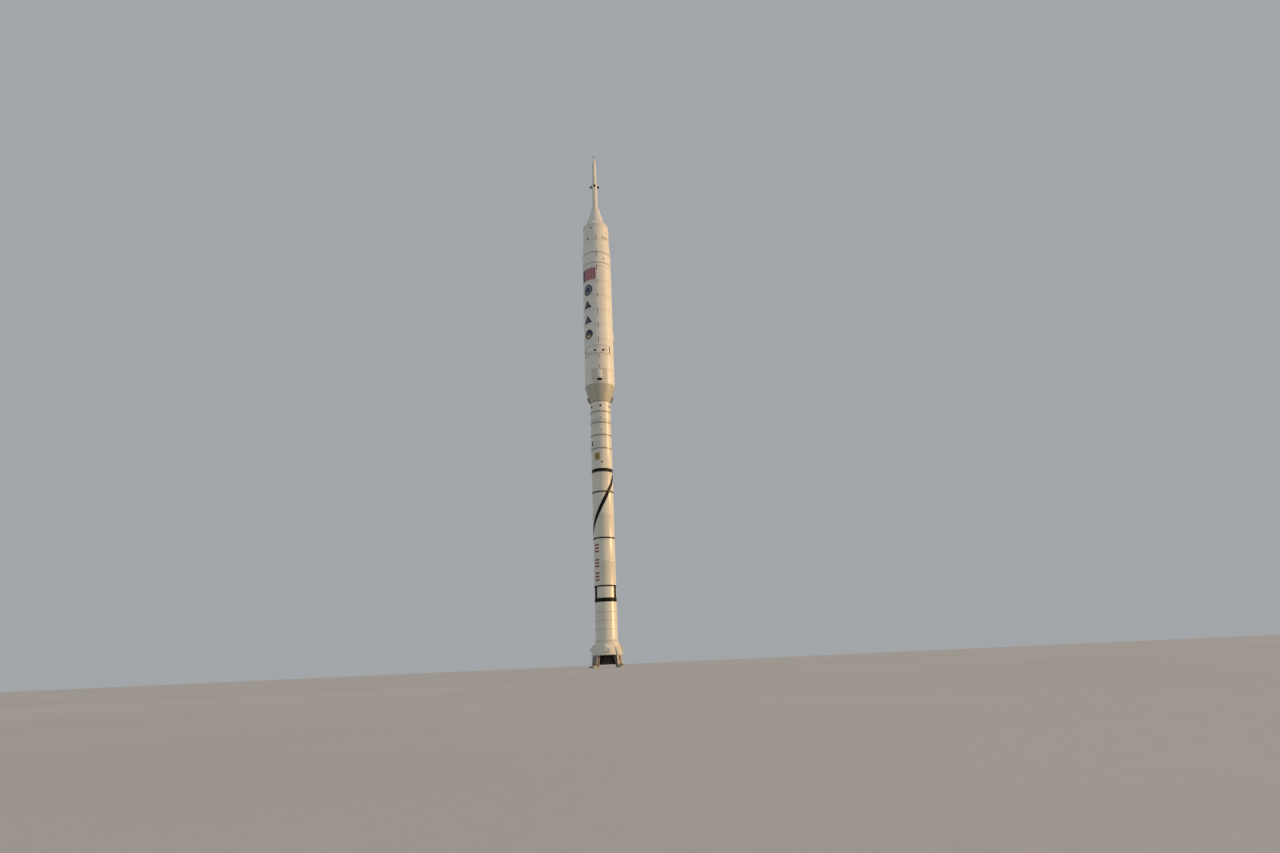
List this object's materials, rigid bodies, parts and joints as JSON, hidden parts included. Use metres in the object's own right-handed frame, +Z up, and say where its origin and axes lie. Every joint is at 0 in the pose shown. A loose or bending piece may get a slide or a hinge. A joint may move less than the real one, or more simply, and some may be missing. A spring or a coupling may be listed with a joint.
{
  "type": "space rocket, 1:10 scale model",
  "caption": "Tall slim two-stage test rocket on four support posts, with a solid booster, wider upper stage, crew capsule, abort tower and a nozzle that tilts two ways.",
  "frame": {"origin": "on the floor under the rocket's axis, midway between the four support posts", "axes": "+Z up along the rocket's axis, -Y towards the side the picture shows, +X to the right of that view"},
  "size_m": [0.5996, 0.5996, 10.165],
  "materials": {
    "white_paint": "satin white paint, slightly weathered",
    "grey_paint": "matt warm grey paint",
    "post_paint": "matt grey paint, scuffed",
    "black_paint": "matt black paint",
    "steel": "bare brushed steel",
    "nozzle_shell": "dark carbon composite",
    "bearing_rubber": "matt black rubber",
    "curtain_cloth": "heat resistant woven cloth"
  },
  "bodies": {
    "rocket": {"aft_skirt": "white_paint", "deceleration_pod_1": "white_paint", "deceleration_pod_2": "white_paint", "deceleration_pod_3": "white_paint", "deceleration_pod_4": "white_paint", "aft_segment": "white_paint", "aft_centre_segment": "white_paint", "forward_centre_segment": "white_paint", "forward_segment": "white_paint", "fifth_segment_lower": "white_paint", "fifth_segment_upper": "white_paint", "forward_skirt": "white_paint", "forward_skirt_extension": "white_paint", "interstage_1": "white_paint", "interstage_2": "white_paint", "upper_segment_1": "white_paint", "upper_segment_2": "white_paint", "upper_segment_3": "white_paint", "upper_segment_4": "white_paint", "upper_segment_5": "white_paint", "upper_segment_6": "white_paint", "upper_segment_7": "white_paint", "side_fairing": "white_paint", "booster_systems_tunnel": "white_paint", "upper_systems_tunnel": "white_paint", "spacecraft_adapter": "white_paint", "service_module": "white_paint", "crew_module": "white_paint", "tower_adapter_cone": "white_paint", "abort_motor": "white_paint", "abort_nozzle_manifold": "white_paint", "jettison_motor": "white_paint", "nose_cone": "white_paint", "frustum": "grey_paint", "roll_control_pod_front": "grey_paint", "roll_control_pod_back": "grey_paint", "support_post_1": "post_paint", "support_post_2": "post_paint", "support_post_3": "post_paint", "support_post_4": "post_paint", "field_joint_ring_1": "black_paint", "field_joint_ring_2": "black_paint", "field_joint_ring_3": "black_paint", "abort_nozzle_1": "black_paint", "abort_nozzle_2": "black_paint", "abort_nozzle_3": "black_paint", "abort_nozzle_4": "black_paint", "nozzle_bearing_housing": "steel", "air_data_boom": "steel", "thermal_curtain": "curtain_cloth"},
    "bearing": {"nozzle_flex_bearing": "bearing_rubber"},
    "nozzle": {"nozzle": "nozzle_shell", "nozzle_shield_ring": "steel"}
  },
  "joints": [
    {"name": "nozzle_rock", "type": "hinge", "parent": "rocket", "child": "bearing", "pos_m": [0, 0, 0.325], "axis": [0.7071, 0.7071, 0], "range_deg": [-8, 8]},
    {"name": "nozzle_tilt", "type": "hinge", "parent": "bearing", "child": "nozzle", "pos_m": [0, 0, 0.325], "axis": [0.7071, -0.7071, 0], "range_deg": [-8, 8]}
  ]
}
